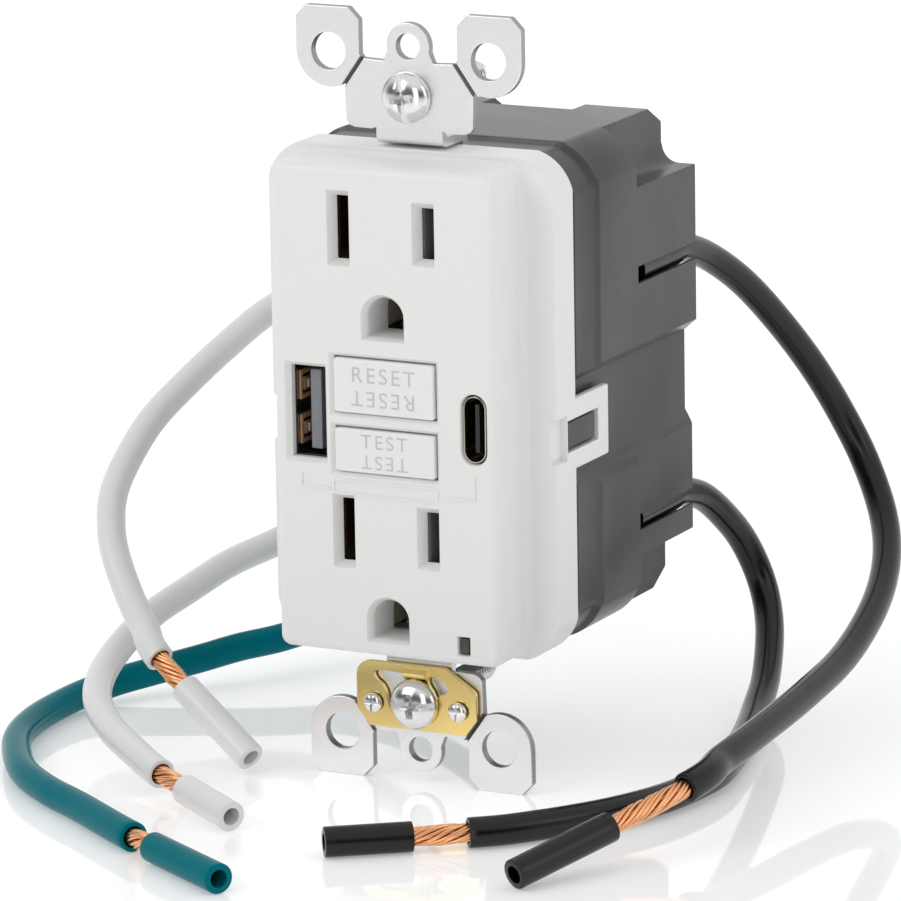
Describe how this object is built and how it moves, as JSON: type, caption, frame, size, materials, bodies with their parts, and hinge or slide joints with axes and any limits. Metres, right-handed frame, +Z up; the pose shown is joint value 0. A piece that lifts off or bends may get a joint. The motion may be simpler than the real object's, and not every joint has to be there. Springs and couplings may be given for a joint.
{
  "type": "gfci receptacle",
  "caption": "Decorator-style ground-fault wall receptacle with grounded outlets, USB-A and USB-C ports, reset and test buttons, steel mounting strap and stripped leads.",
  "frame": {"origin": "half-way between the two mounting screws, on the back plane of the strap's ears", "axes": "+X to the right of someone facing the receptacle, +Y into the wall, +Z up"},
  "size_m": [0.1126, 0.135, 0.1064],
  "materials": {
    "cover": "white satin",
    "buttons": "white satin",
    "housing": "dark grey, slightly glossy",
    "inner_frame": "black, matte",
    "strap": "zinc plated, fine grain",
    "contact_brass": "plain stamped brass",
    "bright_steel": "bright plated steel",
    "usb_shell": "nickel plated",
    "retainer": "brown vulcanised fibre",
    "black_parts": "black, satin",
    "copper": null,
    "varistor": "orange coating",
    "ferrite": "dark grey ferrite",
    "circuit_board": "green solder mask",
    "light_lens": "smoked, dark when unlit",
    "white_insulation": "white, slightly glossy",
    "green_insulation": "blue-green, slightly glossy",
    "black_insulation": "black, slightly glossy"
  },
  "bodies": {
    "housing": {"front_cover": "cover", "rear_housing": "housing", "middle_frame": "inner_frame", "mounting_strap": "strap", "ground_plate": "contact_brass", "ground_rivet_left": "bright_steel", "ground_rivet_right": "bright_steel", "upper_screw_retainer": "retainer", "lower_screw_retainer": "retainer", "reset_spring": "bright_steel", "test_spring": "bright_steel", "solenoid_bobbin": "black_parts", "solenoid_winding": "copper", "solenoid_yoke": "strap", "plunger_spring": "bright_steel", "hot_contact_strip": "contact_brass", "neutral_contact_strip": "contact_brass", "upper_ground_contact": "contact_brass", "lower_ground_contact": "contact_brass", "hot_line_terminal": "contact_brass", "neutral_line_terminal": "contact_brass", "fault_sensing_board": "circuit_board", "usb_board": "circuit_board", "sensing_coil": "copper", "grounded_neutral_coil": "ferrite", "flyback_transformer": "ferrite", "bulk_capacitor": "black_parts", "surge_varistor": "varistor", "control_chip": "black_parts", "status_light_pipe": "light_lens", "status_light": "light_lens", "usb_a_shell": "usb_shell", "usb_a_tongue": "black_parts", "usb_c_shell": "usb_shell", "usb_c_tongue": "black_parts", "white_upper_lead": "white_insulation", "white_upper_strands": "copper", "white_upper_slug": "white_insulation", "white_lower_lead": "white_insulation", "white_lower_strands": "copper", "white_lower_slug": "white_insulation", "green_ground_lead": "green_insulation", "green_ground_strands": "copper", "green_ground_slug": "green_insulation", "black_upper_lead": "black_insulation", "black_upper_strands": "copper", "black_upper_slug": "black_insulation", "black_lower_lead": "black_insulation", "black_lower_strands": "copper", "black_lower_slug": "black_insulation"},
    "reset": {"reset_button": "buttons", "reset_pin": "bright_steel"},
    "test": {"test_button": "buttons"},
    "carrier": {"contact_carrier": "inner_frame", "hot_moving_contact": "contact_brass", "neutral_moving_contact": "contact_brass"},
    "trip": {"latch_plate": "strap", "solenoid_plunger": "bright_steel"},
    "upper_screw": {"upper_mounting_screw": "bright_steel"},
    "lower_screw": {"lower_mounting_screw": "bright_steel"}
  },
  "joints": [
    {"name": "reset_push", "type": "slide", "parent": "housing", "child": "reset", "axis": [0, 1, 0], "range_m": [0, 0.0016], "stiffness_N_per_m": 800, "springref_m": -0.002, "deforming": ["reset_spring"]},
    {"name": "test_push", "type": "slide", "parent": "housing", "child": "test", "axis": [0, 1, 0], "range_m": [0, 0.0012], "stiffness_N_per_m": 600, "springref_m": -0.002, "deforming": ["test_spring"]},
    {"name": "contact_close", "type": "slide", "parent": "housing", "child": "carrier", "axis": [0, -1, 0], "range_m": [0, 0.0015], "stiffness_N_per_m": 500, "springref_m": -0.002},
    {"name": "latch_trip", "type": "slide", "parent": "housing", "child": "trip", "axis": [0, 0, -1], "range_m": [0, 0.0015], "stiffness_N_per_m": 400, "springref_m": -0.002, "deforming": ["plunger_spring"]},
    {"name": "upper_screw_turn", "type": "hinge", "parent": "housing", "child": "upper_screw", "pos_m": [0, 0, 0.04165], "axis": [0, 1, 0], "continuous": true},
    {"name": "lower_screw_turn", "type": "hinge", "parent": "housing", "child": "lower_screw", "pos_m": [0, 0, -0.04165], "axis": [0, 1, 0], "continuous": true}
  ]
}
